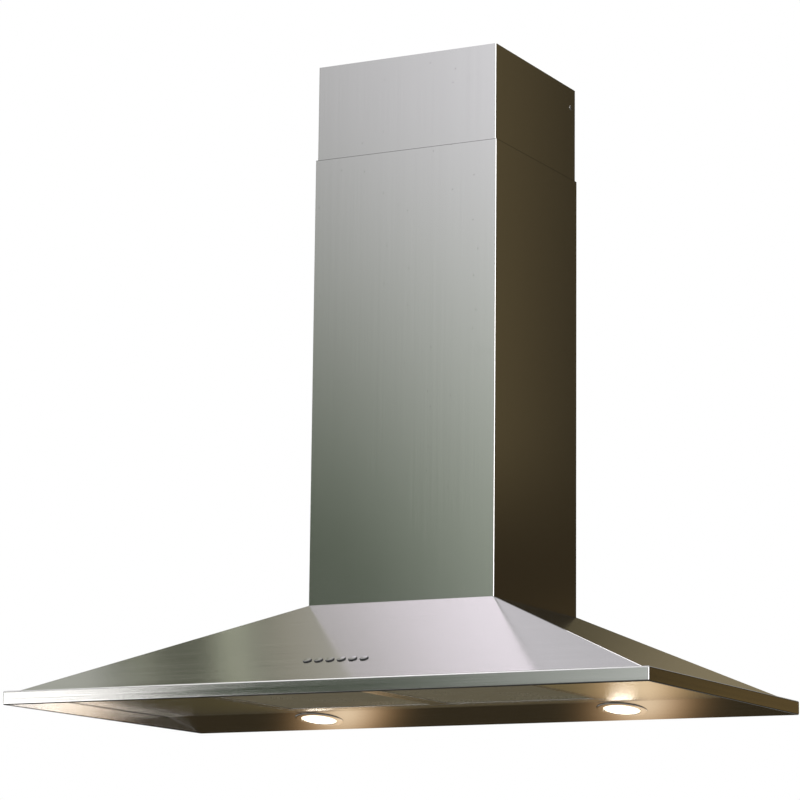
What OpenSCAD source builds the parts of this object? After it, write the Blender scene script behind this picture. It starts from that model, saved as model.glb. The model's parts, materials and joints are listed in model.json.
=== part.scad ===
// Wall-mounted pyramid canopy range hood with a telescopic chimney.
// Frame: +Z up, front faces -Y, the wall is the plane y = 0.
// The origin is the centre of the four wall-fixing holes, on the wall face.
// Inside the modules z = 0 is the bottom of the lip; drop() moves it to the origin.

/* [Canopy] */
// Width of the canopy over the lip
canopy_w = 900; // [880:10:920]
// Depth of the canopy from the wall to the front of the lip
canopy_d = 490; // [486:1:500]
// Height of the vertical lip
lip_h = 18; // [17.5:0.5:22]
// Height from the bottom of the lip to the foot of the chimney
canopy_h = 140; // [138:1:146]
// Flat ledge between the lip's face and the foot of the slopes
ledge_w = 12; // [10:1:14]
// Thickness of the lip's hemmed wall
lip_t = 2; // [1.6:0.2:2.4]
// Thickness of the visible sheet steel
sheet = 1; // [0.8:0.1:1]

/* [Underside] */
// Distance from the wall to the fold between the lamp strip and the flat panel
fold_y = 92; // [91:1:96]
// Thickness of the underside panel
panel_t = 0.8; // [0.6:0.1:1]
// Width of the filter opening
filter_area_w = 473.4; // [470:0.2:476]
// Distance from the wall to the rear edge of the filter opening
filter_rear_y = 125; // [122:1:128]
// Depth of the filter opening
filter_area_d = 280; // [270:2:284]
// Height of a grease filter's frame
filter_h = 9; // [8.6:0.2:10]
// Angle a released filter swings down
filter_swing = 70; // [30:5:75]

/* [Lamps] */
// Distance of each lamp from the middle
lamp_x = 226; // [215:1:240]
// Distance of the lamps from the wall
lamp_y = 56; // [50:1:57]
// Outer diameter of a lamp's body inside the canopy
lamp_d = 60; // [58:1:61]
// Outer diameter of the ring round a lamp
bezel_d = 67; // [64:1:68]

/* [Buttons] */
// Distance between neighbouring push buttons
button_pitch = 16; // [15:0.5:18]
// Diameter of a push button
button_d = 11.2; // [10:0.2:11.6]
// Distance of the buttons from the wall
button_y = 422.5; // [418:0.5:426]
// Travel of a push button
button_travel = 1.5; // [1:0.1:1.5]

/* [Chimney] */
// Width of the lower chimney cover
chimney_w = 270; // [270:1:280]
// Depth of the lower chimney cover
chimney_d = 253; // [253:1:262]
// Height of the lower chimney cover
lower_h = 602; // [560:1:650]
// Height of the top of the upper cover above the bottom of the lip
upper_top = 872; // [860:1:900]
// Length of the upper chimney cover
upper_len = 500; // [450:10:500]
// How far the upper cover stands inside the lower one
inset = 2; // [1.8:0.1:2.5]

/* [Blower] */
// Outer diameter of the impeller
impeller_d = 152; // [148:1:154]
// Outer diameter of the duct collar
duct_d = 150; // [146:1:150]
// Height of the top of the blower box above the bottom of the lip
box_top = 376; // [372:1:380]

/* [Wall fixing] */
// Horizontal distance between the wall-fixing holes
fix_x = 210; // [190:5:214]
// Vertical distance between the wall-fixing holes
fix_z = 220; // [200:10:220]
// Diameter of a wall-fixing hole
fix_d = 8; // [6:0.5:9]
// Height of the hole pattern's centre above the bottom of the lip
mount_z = 200; // [196:1:204]

/* [Hidden] */
$fn = 48;
e = 0.01;
W = canopy_w;
D = canopy_d;
// slopes
sx0 = W/2 - ledge_w;
sy0 = D - ledge_w;
sx1 = chimney_w/2;
sy1 = chimney_d;
rise = canopy_h - lip_h;
tan_side = rise/(sx0 - sx1);
tan_front = rise/(sy0 - sy1);
a_side = atan(tan_side);
a_front = atan(tan_front);
// underside
pz1 = lip_h - 1;
pz0 = pz1 - panel_t;
strip_tan = pz0/(fold_y - 1);
a_strip = atan(strip_tan);
fx = filter_area_w/2;
fy1 = -filter_rear_y;
fy0 = fy1 - filter_area_d;
// one filter, right-hand one
gx0 = 0.6;
gx1 = fx - 0.6;
gy0 = fy0 + 1.4;
gy1 = fy1 - 1;
gz0 = pz0 + 0.2;
gz1 = gz0 + filter_h;
gxc = (gx0 + gx1)/2;
// blower
bx = 120;
by0 = -(chimney_d - 15);
flange_z = canopy_h;
sc_y = -121;
sc_z = 252;
sc_r0 = 82;
sc_r1 = 112;
sc_half = 63;
sc_wall = 2;
out_y0 = sc_y - sc_r1;
out_y1 = sc_y + sc_r0*sin(-25);
inlet_r = 62;
imp_r = impeller_d/2;
imp_half = 54;
shaft_r = 4;
mot_x0 = 16;
mot_x1 = 72;
mot_r = 42;
arm_r = 78;
arm_angles = [90, 210, 330];
// collar
col_y = -158;
col_r = duct_d/2;
col_z0 = box_top + 46;
col_z1 = col_z0 + 52;
flap_z = col_z0 + 14;
flap_r = col_r - 4;
// chimney
up_x = chimney_w/2 - inset;
up_y = -(chimney_d - inset);
up_z0 = upper_top - upper_len;
br_z0 = upper_top - 46;
br_z1 = upper_top - 10;
// screws
cover_screw_x = 128;
cover_screw_y = -60;
box_screw_side = [[-123.6, -200], [-123.6, -120], [123.6, -200], [123.6, -120]];
box_screw_front = [[-60, -243], [60, -243]];
lug_angles = [45, 135, 225];

// ---------------------------------------------------------------- helpers
module drop() { translate([0, 0, -mount_z]) children(); }

module box(p, q) { translate(p) cube([q[0] - p[0], q[1] - p[1], q[2] - p[2]]); }

// eight-cornered block with two horizontal rectangles, symmetric about x = 0
module frustum(x0, ya, yb, z0, x1, yc, yd, z1) {
  polyhedron(points = [[-x0, ya, z0], [x0, ya, z0], [x0, yb, z0], [-x0, yb, z0],
                       [-x1, yc, z1], [x1, yc, z1], [x1, yd, z1], [-x1, yd, z1]],
             faces = [[0, 1, 2, 3], [4, 5, 1, 0], [7, 6, 5, 4],
                      [5, 6, 2, 1], [6, 7, 3, 2], [7, 4, 0, 3]]);
}

// 2D shape in (y, z), extruded along X from x0 to x1
module along_x(x0, x1) {
  translate([x0, 0, 0]) rotate([90, 0, 90]) linear_extrude(x1 - x0) children();
}

// cylinder along X
module rod_x(x0, x1, y, z, r) { translate([x0, y, z]) rotate([0, 90, 0]) cylinder(r = r, h = x1 - x0); }

// cylinder along Y
module rod_y(y0, y1, x, z, r) { translate([x, y1, z]) rotate([90, 0, 0]) cylinder(r = r, h = y1 - y0); }

module mirror_if(left) { if (left) mirror([1, 0, 0]) children(); else children(); }

// swept tube along points: sides n, radius r
function unit(v) = v/norm(v);
function tangent(p, i) = unit(p[min(i + 1, len(p) - 1)] - p[max(i - 1, 0)]);
// side vectors carried along the path, so that the rings never twist
function sides_from(p, i, s) = i == len(p) ? [] :
  let (t = tangent(p, i), c = unit(s - (s*t)*t)) concat([c], sides_from(p, i + 1, c));
module sweep(p, r, n = 8) {
  m = len(p);
  ss = sides_from(p, 0, abs(tangent(p, 0)[2]) > 0.9 ? [1, 0, 0] : [0, 0, 1]);
  pts = [for (i = [0:m - 1]) let (t = tangent(p, i), s = ss[i], u = cross(s, t))
         for (k = [0:n - 1]) p[i] + r*(cos(360*k/n)*s + sin(360*k/n)*u)];
  polyhedron(points = pts,
    faces = concat([[for (k = [0:n - 1]) k]],
      [for (i = [0:m - 2]) for (k = [0:n - 1]) let (a = i*n + k, b = i*n + (k + 1)%n)
        [a, a + n, b + n, b]],
      [[for (k = [n - 1:-1:0]) (m - 1)*n + k]]));
}
// smooth path through hand-picked corner points
function mix(a, b, t) = a*(1 - t) + b*t;
function bend(p, n) = let (m = len(p)) concat([p[0]],
  [for (i = [1:m - 2]) let (a = mix(p[i], p[i - 1], min(0.45, 14/norm(p[i] - p[i - 1]))),
                            b = mix(p[i], p[i + 1], min(0.45, 14/norm(p[i] - p[i + 1]))))
    for (k = [0:n]) let (t = k/n) mix(mix(a, p[i], t), mix(p[i], b, t), t)],
  [p[m - 1]]);

// ---------------------------------------------------------------- canopy
module canopy_shell() {
  color([0.80, 0.79, 0.82]) drop() difference() {
    frustum(sx0, -sy0, -1, lip_h, sx1, -sy1, -1, canopy_h);
    let (zi = lip_h - 1, zt = canopy_h - sheet,
         cx = sheet/sin(a_side), cy = sheet/sin(a_front))
      frustum(sx0 - (zi - lip_h)/tan_side - cx, -(sy0 - (zi - lip_h)/tan_front - cy), 1, zi,
              sx0 - (zt - lip_h)/tan_side - cx, -(sy0 - (zt - lip_h)/tan_front - cy), 1, zt);
    // way up into the blower box
    box([-114, by0 + 8, canopy_h - 4], [114, 1, canopy_h + 4]);
    // button holes
    for (i = [0:5]) at_button(i) translate([0, 0, -4]) cylinder(r = button_d/2 + 0.3, h = 8);
    // screw holes in the top flange
    for (s = [-1, 1]) translate([s*cover_screw_x, cover_screw_y, canopy_h - 4]) cylinder(r = 2.1, h = 8, $fn = 24);
    for (p = concat(box_screw_side, box_screw_front)) translate([p[0], p[1], canopy_h - 4]) cylinder(r = 1.9, h = 8, $fn = 24);
  }
}

module lip_frame() {
  color([0.75, 0.76, 0.77]) drop() difference() {
    box([-W/2, -D, 0], [W/2, 0, lip_h]);
    box([-W/2 + lip_t, -D + lip_t, -1], [W/2 - lip_t, 1, pz1]);
    box([-W/2 + ledge_w + 6, -D + ledge_w + 6, -1], [W/2 - ledge_w - 6, 1, lip_h + 1]);
  }
}

module under_panel() {
  hx = W/2 - lip_t - 0.2;
  yf = -(D - lip_t - 0.2);
  up = panel_t/cos(a_strip);
  color([0.55, 0.50, 0.44]) drop() difference() {
    union() {
      along_x(-hx, hx) polygon([[yf, pz0], [-fold_y, pz0], [-1, 0], [-1, 11], [-1.8, 11],
        [-1.8, 0.8*strip_tan + up], [-fold_y + (up - panel_t)/strip_tan, pz1], [yf, pz1]]);
      // turned-up edges at both sides and the front of the filter opening
      for (s = [-1, 1]) box([s*fx + (s < 0 ? -0.8 : 0), fy0 - 0.8, pz0 + 0.3], [s*fx + (s < 0 ? 0 : 0.8), fy1, pz1 + 10]);
      box([-fx - 0.8, fy0 - 0.8, pz0 + 0.3], [fx + 0.8, fy0, pz1 + 10]);
      // centre post of the front edge, where both filters meet
      box([-8, fy0 - 0.8, pz0 + 0.3], [8, fy0, pz1 + 14]);
    }
    box([-fx, fy0, pz0 - 2], [fx, fy1, pz1 + 0.2]);
    for (s = [-1, 1]) at_lamp(s) translate([0, 0, -3]) cylinder(r = lamp_d/2 - 3, h = 8);
  }
}

module back_plate() {
  color([0.62, 0.63, 0.64]) drop() difference() {
    rotate([90, 0, 0]) linear_extrude(1) polygon([
      [-(W/2 - lip_t - 0.2), 0], [W/2 - lip_t - 0.2, 0], [W/2 - lip_t - 0.2, pz1 - 0.2],
      [W/2 - ledge_w - 6.2, pz1 - 0.2], [W/2 - ledge_w - 6.2, lip_h], [sx0, lip_h],
      [sx1, canopy_h], [bx + 1, canopy_h], [bx + 1, box_top], [-bx - 1, box_top],
      [-bx - 1, canopy_h], [-sx1, canopy_h], [-sx0, lip_h],
      [-(W/2 - ledge_w - 6.2), lip_h], [-(W/2 - ledge_w - 6.2), pz1 - 0.2],
      [-(W/2 - lip_t - 0.2), pz1 - 0.2]]);
    for (x = [-fix_x/2, fix_x/2]) for (z = [-fix_z/2, fix_z/2]) rod_y(-3, 2, x, mount_z + z, fix_d/2);
  }
}

// ---------------------------------------------------------------- blower box and chimney
// front and both sides, folded from one sheet
module blower_box() {
  color([0.70, 0.72, 0.73]) drop() difference() {
    union() {
      box([-bx, by0, flange_z], [bx, -1, box_top - 1]);
      box([-bx - 7, by0, flange_z], [bx + 7, -96, flange_z + 1]);
      box([-bx, by0 - 9, flange_z], [bx, by0 + 1, flange_z + 1]);
    }
    box([-bx + 1, by0 + 1, flange_z - 1], [bx - 1, 1, box_top]);
    for (p = concat(box_screw_side, box_screw_front)) translate([p[0], p[1], flange_z - 1]) cylinder(r = 1.9, h = 4, $fn = 24);
  }
}

// top plate that carries the blower
module box_top_plate() {
  color([0.66, 0.68, 0.69]) drop() difference() {
    box([-bx, by0, box_top - 1], [bx, -1, box_top]);
    box([-sc_half + sc_wall, out_y0, box_top - 3], [sc_half - sc_wall, out_y1, box_top + 2]);
    translate([92, -40, box_top - 3]) cylinder(r = 8.2, h = 6);
  }
}

// pan-head screw, head up, seat at z = 0
module pan_screw(r, l, hr, hh) {
  translate([0, 0, -l]) cylinder(r = r, h = l + 0.2, $fn = 24);
  difference() {
    cylinder(r1 = hr, r2 = hr*0.72, h = hh, $fn = 24);
    for (a = [0, 90]) rotate(a) translate([-hr*0.5, -0.4, hh*0.5]) cube([hr, 0.8, hh]);
  }
}

module box_screws() {
  color([0.75, 0.75, 0.78]) drop() for (p = concat(box_screw_side, box_screw_front))
    translate([p[0], p[1], flange_z + 1]) pan_screw(1.8, 6, 3.2, 2.2);
}

module chimney_lower() {
  x = chimney_w/2;
  color([0.70, 0.71, 0.72]) drop() difference() {
    union() {
      difference() {
        box([-x, -chimney_d, canopy_h], [x, 0, canopy_h + lower_h]);
        box([-x + 1, -chimney_d + 1, canopy_h - 1], [x - 1, 1, canopy_h + lower_h + 1]);
      }
      for (s = [-1, 1]) {
        // rear returns
        box([s < 0 ? -x : x - 9, -1, canopy_h + 0.2], [s < 0 ? -x + 9 : x, 0, canopy_h + lower_h - 60]);
        // fixing tabs at the foot
        box([s < 0 ? -x : x - 13, cover_screw_y - 12, canopy_h], [s < 0 ? -x + 13 : x, cover_screw_y + 12, canopy_h + 1.2]);
      }
    }
    for (s = [-1, 1]) translate([s*cover_screw_x, cover_screw_y, canopy_h - 2]) cylinder(r = 1.85, h = 6, $fn = 24);
  }
}

module cover_screws() {
  color([0.75, 0.75, 0.78]) drop() for (s = [-1, 1])
    translate([s*cover_screw_x, cover_screw_y, canopy_h - sheet]) mirror([0, 0, 1]) pan_screw(1.8, 6, 3.6, 2.4);
}

module chimney_upper() {
  color([0.74, 0.74, 0.77]) drop() difference() {
    union() {
      difference() {
        box([-up_x, up_y, up_z0], [up_x, -1.2, upper_top]);
        box([-up_x + 1, up_y + 1, up_z0 - 1], [up_x - 1, 1, upper_top + 1]);
      }
      for (s = [-1, 1]) box([s < 0 ? -up_x : up_x - 9, -2.2, up_z0], [s < 0 ? -up_x + 9 : up_x, -1.2, br_z0 - 6]);
    }
    for (s = [-1, 1]) rod_x(s*up_x - 3, s*up_x + 3, -16, (br_z0 + br_z1)/2, 2.05, $fn = 24);
  }
}

module chimney_bracket() {
  color([0.68, 0.69, 0.70]) drop() difference() {
    union() {
      box([-up_x + 1, -1.5, br_z0], [up_x - 1, 0, br_z1]);
      for (s = [-1, 1]) box([s < 0 ? -up_x + 1 : up_x - 2.5, -26, br_z0 + 4], [s < 0 ? -up_x + 2.5 : up_x - 1, 0, br_z1 - 4]);
      // stiffening rib along the lower edge
      box([-up_x + 1, -8, br_z0], [up_x - 1, 0, br_z0 + 1.2]);
    }
    for (s = [-1, 1]) {
      rod_y(-4, 2, s*60, (br_z0 + br_z1)/2, 3);
      rod_x(s*up_x - 4, s*up_x + 3, -16, (br_z0 + br_z1)/2, 1.85);
    }
  }
}

module bracket_screws() {
  color([0.75, 0.75, 0.78]) drop() for (s = [-1, 1])
    translate([s*up_x, -16, (br_z0 + br_z1)/2]) rotate([0, s*90, 0]) pan_screw(1.8, 7, 3.6, 0.8);
}

// ---------------------------------------------------------------- blower
function scroll_pts(a0, dr) = [for (a = concat([a0], [for (k = [-15:5:270]) k]))
  let (r = sc_r0 + (sc_r1 - sc_r0)*(a + 25)/295 + dr) [sc_y + r*sin(a), sc_z + r*cos(a)]];

module scroll_inner() { polygon(concat(scroll_pts(-25, 0), [[out_y0, box_top + 9], [out_y1, box_top + 9]])); }
module scroll_outer() {
  polygon(concat(scroll_pts(-22, sc_wall),
    [[out_y0 - sc_wall, box_top - 1], [out_y1 + sc_wall, box_top - 1]]));
}
function lug_pos(a) = let (r = sc_r0 + (sc_r1 - sc_r0)*(a + 25)/295 + 5.2) [sc_y + r*sin(a), sc_z + r*cos(a)];
lugs = concat([for (a = lug_angles) lug_pos(a)], [[out_y1 + 6, sc_z + 108]]);

module scroll_half() {
  difference() {
    union() {
      along_x(0, sc_half) scroll_outer();
      for (p = lugs) rod_x(0, 7, p[0], p[1], 5.6);
      // bell mouth round the inlet
      rod_x(sc_half - 1, sc_half + 3, sc_y, sc_z, inlet_r + 2);
      // foot flange under the box's top plate
      box([sc_half - 1, out_y0 - 2, box_top - 3], [sc_half + 9, out_y1 + 2, box_top - 1]);
    }
    along_x(-1, sc_half - sc_wall) scroll_inner();
    rod_x(sc_half - 5, sc_half + 5, sc_y, sc_z, inlet_r);
    for (p = lugs) rod_x(-1, 9, p[0], p[1], 1.7, $fn = 24);
    for (a = arm_angles) rod_x(sc_half - 4, sc_half + 2, sc_y + arm_r*cos(a), sc_z + arm_r*sin(a), 2.0, $fn = 24);
  }
}

module scroll_left() { color([0.28, 0.29, 0.31]) drop() mirror([1, 0, 0]) scroll_half(); }
module scroll_right() { color([0.32, 0.33, 0.35]) drop() scroll_half(); }

module scroll_screws() {
  color([0.75, 0.75, 0.78]) drop() for (p = lugs)
    translate([7, p[0], p[1]]) rotate([0, 90, 0]) pan_screw(1.6, 13.5, 3, 2.2);
}

module blade() {
  // one forward-curved blade, a thin arc in the (y, z) plane
  polygon([for (i = [0:5]) let (r = 64.5 + i*(imp_r - 65.5)/5, a = -5.5*pow(i/5, 1.5)) [r*cos(a), r*sin(a)],
           for (i = [5:-1:0]) let (r = 64.5 + i*(imp_r - 65.5)/5, a = -5.5*pow(i/5, 1.5) + 0.75) [r*cos(a), r*sin(a)]]);
}

module impeller() {
  color([0.20, 0.21, 0.23]) drop() difference() {
    union() {
      translate([0, sc_y, sc_z]) along_x(-imp_half, imp_half) for (k = [0:35]) rotate(k*10) blade();
      // end rings
      for (s = [-1, 1]) difference() {
        rod_x(s < 0 ? -imp_half : imp_half - 3, s < 0 ? -imp_half + 3 : imp_half, sc_y, sc_z, imp_r);
        rod_x(s < 0 ? -imp_half - 1 : imp_half - 4, s < 0 ? -imp_half + 4 : imp_half + 1, sc_y, sc_z, 67);
      }
      // centre disc and hub
      rod_x(-1.2, 1.2, sc_y, sc_z, imp_r);
      rod_x(-12, 8, sc_y, sc_z, 10);
    }
    rod_x(-20, 20, sc_y, sc_z, shaft_r);
    for (k = [0:5]) rod_x(-3, 3, sc_y + 38*cos(60*k), sc_z + 38*sin(60*k), 7);
  }
}

module motor_shaft() { color([0.80, 0.80, 0.82]) drop() rod_x(-14, mot_x1 + 5, sc_y, sc_z, shaft_r); }

module motor_rotor() {
  color([0.45, 0.42, 0.40]) drop() difference() {
    union() {
      rod_x(30, 58, sc_y, sc_z, 20);
      rod_x(27, 61, sc_y, sc_z, 16);
    }
    rod_x(20, 70, sc_y, sc_z, shaft_r);
  }
}

module motor_body() {
  color([0.50, 0.52, 0.55]) drop() difference() {
    union() {
      rod_x(mot_x0 + 6, mot_x1 - 6, sc_y, sc_z, mot_r);
      rod_x(mot_x0 + 2, mot_x1, sc_y, sc_z, mot_r - 5);
      rod_x(mot_x0, mot_x1, sc_y, sc_z, 14);
      // cooling ribs
      for (k = [0:11]) translate([mot_x0 + 8, sc_y, sc_z]) rotate([k*30, 0, 0]) translate([0, mot_r - 1, -1.2]) cube([mot_x1 - mot_x0 - 26, 3, 2.4]);
    }
    rod_x(mot_x0 - 1, mot_x1 + 1, sc_y, sc_z, 8);
    rod_x(mot_x0 + 9, mot_x1 - 9, sc_y, sc_z, 21);
    for (a = [90, 210, 330]) rod_x(mot_x1 - 12, mot_x1 + 1, sc_y + 32*cos(a), sc_z + 32*sin(a), 1.7, $fn = 24);
  }
}

module motor_bearings() {
  color([0.72, 0.52, 0.30]) drop() for (x = [mot_x0, mot_x1 - 9]) difference() {
    rod_x(x, x + 9, sc_y, sc_z, 8);
    rod_x(x - 1, x + 10, sc_y, sc_z, shaft_r + 0.03);
  }
}

module motor_bracket() {
  color([0.62, 0.64, 0.66]) drop() difference() {
    union() {
      rod_x(mot_x1, mot_x1 + 1.5, sc_y, sc_z, 38);
      for (a = arm_angles) translate([mot_x1, sc_y, sc_z]) rotate([a, 0, 0]) translate([0, 0, -8]) cube([1.5, arm_r + 8, 16]);
    }
    rod_x(mot_x1 - 1, mot_x1 + 3, sc_y, sc_z, 16);
    for (a = arm_angles) {
      rod_x(mot_x1 - 1, mot_x1 + 3, sc_y + arm_r*cos(a), sc_z + arm_r*sin(a), 2.1, $fn = 24);
      rod_x(mot_x1 - 1, mot_x1 + 3, sc_y + 32*cos(a), sc_z + 32*sin(a), 1.8, $fn = 24);
    }
  }
}

module motor_grommets() {
  color([0.12, 0.12, 0.12]) drop() for (a = arm_angles) difference() {
    rod_x(sc_half, mot_x1, sc_y + arm_r*cos(a), sc_z + arm_r*sin(a), 5.8);
    rod_x(sc_half - 1, mot_x1 + 1, sc_y + arm_r*cos(a), sc_z + arm_r*sin(a), 2.1, $fn = 24);
  }
}

module motor_screws() {
  color([0.75, 0.75, 0.78]) drop() for (a = arm_angles) {
    translate([mot_x1 + 1.5, sc_y + arm_r*cos(a), sc_z + arm_r*sin(a)]) rotate([0, 90, 0]) pan_screw(1.9, mot_x1 + 1.5 - sc_half + 2, 4, 2.4);
    translate([mot_x1 + 1.5, sc_y + 32*cos(a), sc_z + 32*sin(a)]) rotate([0, 90, 0]) pan_screw(1.6, 10, 3.4, 2.2);
  }
}

// ---------------------------------------------------------------- outlet
module outlet_adaptor() {
  color([0.24, 0.25, 0.27]) drop() difference() {
    union() {
      // seat on the box
      box([-sc_half - 6, out_y0 - 3, box_top], [sc_half + 6, out_y1 + 44, box_top + 2]);
      hull() {
        box([-sc_half, out_y0 - 2, box_top + 1], [sc_half, out_y1 + 2, box_top + 2]);
        translate([0, col_y, col_z0 - 1]) cylinder(r = col_r - 0.5, h = 1, $fn = 32);
      }
    }
    hull() {
      box([-sc_half + sc_wall, out_y0, box_top - 1], [sc_half - sc_wall, out_y1, box_top + 2]);
      translate([0, col_y, col_z0 - 1]) cylinder(r = col_r - 2.5, h = 2, $fn = 32);
    }
  }
}

module duct_collar() {
  color([0.18, 0.19, 0.20]) drop() difference() {
    union() {
      translate([0, col_y, col_z0]) cylinder(r = col_r, h = col_z1 - col_z0, $fn = 96);
      translate([0, col_y, col_z0]) cylinder(r = col_r + 5, h = 3, $fn = 96);
    }
    difference() {
      translate([0, col_y, col_z0 - 1]) cylinder(r = col_r - 2.5, h = col_z1 - col_z0 + 2, $fn = 96);
      // stops that the closed flaps lie on
      for (a = [60, 120, 240, 300]) translate([0, col_y, 0]) rotate(a) translate([col_r - 7, -4, flap_z - 4]) cube([8, 8, 3]);
    }
    // seats of the flap pin
    rod_x(-col_r - 2, col_r + 2, col_y, flap_z, 1.5, $fn = 32);
  }
}

module flap_pin() { color([0.80, 0.80, 0.82]) drop() rod_x(-col_r + 0.5, col_r - 0.5, col_y, flap_z, 1.5, $fn = 32); }

// half disc in front of the pin (s = -1) or behind it (s = 1), knuckles at x
module flap_half(s, knuckles) {
  difference() {
    union() {
      intersection() {
        translate([0, col_y, flap_z - 0.8]) cylinder(r = flap_r, h = 1.6, $fn = 96);
        box([-flap_r + 1, s < 0 ? col_y - flap_r : col_y + 3.6, flap_z - 2], [flap_r - 1, s < 0 ? col_y - 3.6 : col_y + flap_r, flap_z + 2]);
      }
      for (x = knuckles) {
        rod_x(x - 6, x + 6, col_y, flap_z, 3);
        box([x - 6, s < 0 ? col_y - 6 : col_y, flap_z - 0.8], [x + 6, s < 0 ? col_y : col_y + 6, flap_z + 0.8]);
      }
    }
    rod_x(-col_r, col_r, col_y, flap_z, 1.55, $fn = 32);
  }
}
module flap_front() { color([0.85, 0.86, 0.88]) drop() flap_half(-1, [-50, 22]); }
module flap_rear() { color([0.80, 0.81, 0.83]) drop() flap_half(1, [-22, 50]); }

// ---------------------------------------------------------------- grease filters
module filter_frame() {
  difference() {
    union() {
      box([gx0, gy0, gz0], [gx1, gy1, gz1]);
      // tongues that lie on the panel behind the opening and carry the rear edge
      for (x = [gx0 + 34, gx1 - 69]) box([x, gy1 - 1, pz1 + 0.05], [x + 35, gy1 + 9, pz1 + 1.25]);
    }
    // window and the channel that holds the mesh
    box([gx0 + 12, gy0 + 26, gz0 - 1], [gx1 - 12, gy1 - 12, gz1 + 1]);
    box([gx0 + 6, gy0 + 23, gz0 + 1.2], [gx1 - 6, gy1 - 6, gz1 - 1.2]);
    // latch cavity, tongue slot and finger slot
    box([gxc - 23, gy0 + 1.4, gz0 + 1.4], [gxc + 23, gy0 + 21.4, gz1 - 1.4]);
    box([gxc - 9, gy0 - 1, gz0 + 3.4], [gxc + 9, gy0 + 2, gz0 + 6]);
    box([gxc - 14, gy0 + 6.4, gz0 - 1], [gxc + 14, gy0 + 19.4, gz0 + 2]);
  }
}

// pleated layer of expanded metal: a slab with rows of diamond openings
module filter_mesh() {
  mx0 = gx0 + 6.1; mx1 = gx1 - 6.1; my0 = gy0 + 23.1; my1 = gy1 - 6.1;
  px = 15.4; py = 9.6;
  nx = floor((gx1 - gx0 - 30)/px); ny = floor((my1 - my0 - 12)/py);
  x00 = (mx0 + mx1)/2 - (nx - 1)*px/2; y00 = (my0 + my1)/2 - (ny - 1)*py/2;
  translate([0, 0, gz0 + 1.3]) linear_extrude(filter_h - 2.6) difference() {
    translate([mx0, my0]) square([mx1 - mx0, my1 - my0]);
    for (i = [0:nx - 1]) for (j = [0:ny - 1])
      if (i < nx - 1 || j % 2 == 0)
        translate([x00 + i*px + (j % 2)*px/2, y00 + j*py]) polygon([[-5.6, 0], [0, -3.6], [5.6, 0], [0, 3.6]]);
  }
}

module filter_latch() {
  difference() {
    union() {
      box([gxc - 21, gy0 + 1.6, gz0 + 2.6], [gxc + 21, gy0 + 11.4, gz0 + 6.2]);
      box([gxc - 8.6, gy0 - 1.1, gz0 + 3.6], [gxc + 8.6, gy0 + 2, gz0 + 5.8]);
      box([gxc - 13.6, gy0 + 6.8, gz0 - 1], [gxc + 13.6, gy0 + 11.4, gz0 + 3]);
      box([gxc - 13.6, gy0 + 11, gz0 - 1], [gxc + 13.6, gy0 + 12.8, gz0 + 1.2]);
      // finger grip under the frame
      box([gxc - 13.6, gy0 + 5.6, gz0 - 4], [gxc + 13.6, gy0 + 13.8, gz0 - 0.2]);
    }
    // scoop in the grip
    rod_x(gxc - 11, gxc + 11, gy0 + 9.7, gz0 - 5.4, 3);
  }
}

module latch_spring() {
  n = 54;
  sweep([for (i = [0:n]) let (a = 360*6*i/n) [gxc + 2.1*cos(a), gy0 + 12.1 + 8.6*i/n, gz0 + 4.4 + 2.1*sin(a)]], 0.4, 6);
}

module filter_frame_left() { color([0.72, 0.73, 0.74]) drop() mirror([1, 0, 0]) filter_frame(); }
module filter_frame_right() { color([0.76, 0.77, 0.78]) drop() filter_frame(); }
module filter_mesh_left() { color([0.60, 0.61, 0.62]) drop() mirror([1, 0, 0]) filter_mesh(); }
module filter_mesh_right() { color([0.63, 0.64, 0.65]) drop() filter_mesh(); }
module filter_latch_left() { color([0.30, 0.30, 0.32]) drop() mirror([1, 0, 0]) filter_latch(); }
module filter_latch_right() { color([0.33, 0.33, 0.35]) drop() filter_latch(); }
module latch_spring_left() { color([0.75, 0.75, 0.78]) drop() translate([-2*gxc, 0, 0]) latch_spring(); }
module latch_spring_right() { color([0.75, 0.75, 0.78]) drop() latch_spring(); }

// ---------------------------------------------------------------- lamps
// local frame: z = 0 on the visible face of the strip, +z into the canopy
module at_lamp(s) {
  translate([s*lamp_x, -lamp_y, (lamp_y - 1)*strip_tan]) rotate([-a_strip, 0, 0]) children();
}

module lamp_bezel(s) {
  r = lamp_d/2;
  ro = bezel_d/2;
  at_lamp(s) difference() {
    rotate_extrude($fn = 96) polygon([[r - 5, -1.6], [ro - 2.8, -1.6], [ro - 1, -1.2], [ro, -0.4], [ro, 0],
      [r - 3.3, 0], [r - 3.3, 9], [r - 4.6, 9], [r - 4.6, 1.2], [r - 5.6, 0.4], [r - 5.6, -1]]);
    // two notches at the glass for turning the ring
    for (k = [-1, 1]) translate([k*(r - 4.2), 0, -1.8]) cylinder(r = 1.7, h = 1.7, $fn = 24);
  }
}
module lamp_glass(s) {
  r = lamp_d/2 - 4.7;
  at_lamp(s) rotate_extrude($fn = 96) polygon([[0, -0.6], [r*0.55, -0.4], [r - 1.4, 0.6],
    [r - 1, 1.3], [r, 1.4], [r, 3.4], [0, 3.4]]);
}
module lamp_can(s) {
  r = lamp_d/2;
  at_lamp(s) difference() {
    union() {
      translate([0, 0, 0.85]) cylinder(r = r + 1, h = 1);
      translate([0, 0, 0.85]) cylinder(r = r - 2, h = 31);
    }
    translate([0, 0, 0]) cylinder(r = r - 3.2, h = 30.8);
    for (k = [0:5]) rotate(k*60) translate([14, 0, 28]) cylinder(r = 2.6, h = 6, $fn = 24);
    translate([0, 0, 28]) cylinder(r = 5, h = 6);
  }
}
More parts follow.
